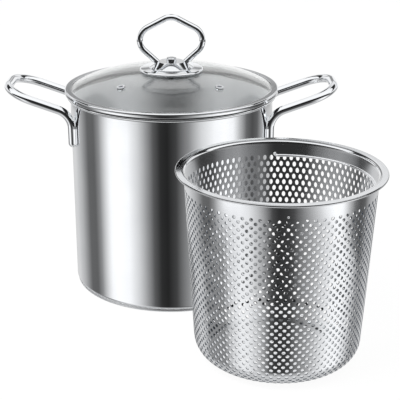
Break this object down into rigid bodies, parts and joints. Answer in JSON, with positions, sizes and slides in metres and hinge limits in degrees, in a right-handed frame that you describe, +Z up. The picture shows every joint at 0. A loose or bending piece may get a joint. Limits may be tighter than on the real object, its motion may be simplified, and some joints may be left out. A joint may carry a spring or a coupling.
{
  "type": "deep fry pot with basket",
  "caption": "Deep straight-sided steel pot with welded wire side handles, a domed glass lid with a wire-loop knob, and a tapered perforated lift-out basket with a fold-down bail.",
  "frame": {"origin": "centre of the pot's flat underside, on the surface it stands on", "axes": "+Z up along the pot's axis; the two side handles lie along X; the basket stands towards -Y and +X"},
  "size_m": [0.3504, 0.3705, 0.2711],
  "materials": {
    "pot_steel": "polished stainless steel",
    "base_steel": "polished stainless steel",
    "core_aluminium": "plain, closed in by the capsule",
    "wire_steel": "mirror polished stainless wire",
    "lid_glass": "clear tempered glass",
    "band_steel": "polished rolled band",
    "knob_steel": "mirror polished spun steel",
    "fixing_steel": "bright stainless fixings",
    "silicone": "translucent grey silicone",
    "basket_steel": "bright perforated stainless sheet"
  },
  "bodies": {
    "pot": {"pot_shell": "pot_steel", "base_core": "core_aluminium", "base_cap": "base_steel", "handle_left": "wire_steel", "handle_right": "wire_steel"},
    "lid": {"lid_glass": "lid_glass", "lid_rim": "band_steel", "vent_grommet_left": "fixing_steel", "vent_grommet_right": "fixing_steel", "knob_loop": "wire_steel", "knob_plate": "fixing_steel", "knob_cap": "knob_steel", "knob_skirt": "knob_steel", "knob_gasket": "silicone", "under_gasket": "silicone", "knob_washer": "fixing_steel", "knob_screw": "fixing_steel", "knob_nut": "fixing_steel"},
    "basket": {"basket_rim": "basket_steel", "basket_wall": "basket_steel", "basket_floor": "basket_steel"},
    "bail": {"basket_bail": "wire_steel"}
  },
  "joints": [
    {"name": "lid_lift", "type": "slide", "parent": "pot", "child": "lid", "axis": [0, 0, 1], "range_m": [0, 0.12]},
    {"name": "basket_lift", "type": "slide", "parent": "pot", "child": "basket", "axis": [0, 0, 1], "range_m": [0, 0.2]},
    {"name": "bail_swing", "type": "hinge", "parent": "basket", "child": "bail", "pos_m": [0.09701, -0.17501, 0.16], "axis": [0, -1, 0], "range_deg": [0, 180]}
  ]
}
